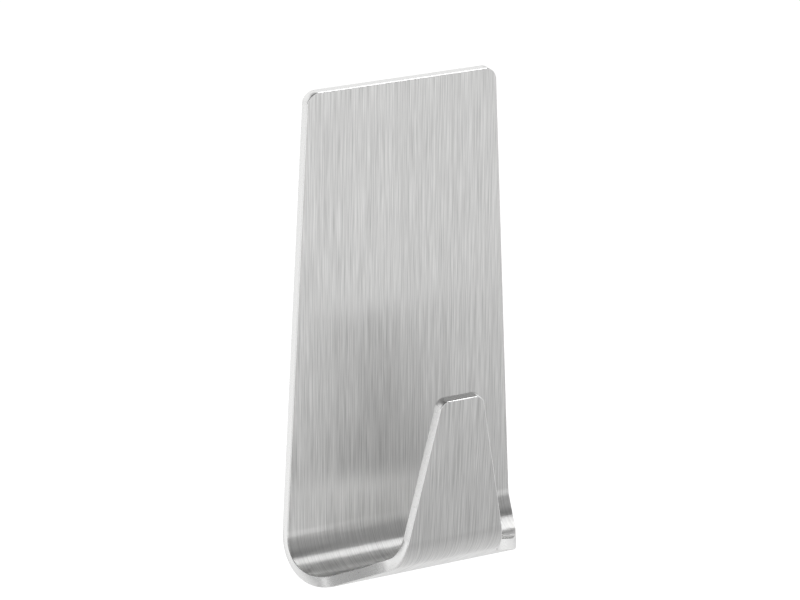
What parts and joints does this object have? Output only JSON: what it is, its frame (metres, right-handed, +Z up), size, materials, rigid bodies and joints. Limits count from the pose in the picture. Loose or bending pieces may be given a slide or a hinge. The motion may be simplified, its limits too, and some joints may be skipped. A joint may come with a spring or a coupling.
{
  "type": "adhesive wall hook",
  "caption": "Wall hook folded from one tapered brushed steel sheet, with rounded wings, an upturned tongue and a foam adhesive pad behind the plate.",
  "frame": {"origin": "middle of the pad's wall side", "axes": "+X to the right as seen from the room, +Y into the wall, +Z up; the hook opens upward on the -Y side"},
  "size_m": [0.0354, 0.0211, 0.0702],
  "materials": {
    "brushed_steel": "fine vertical brushing, satin",
    "pad_foam": "matte double-sided foam tape"
  },
  "bodies": {
    "root": {"steel_hook": "brushed_steel", "adhesive_pad": "pad_foam"}
  },
  "joints": []
}
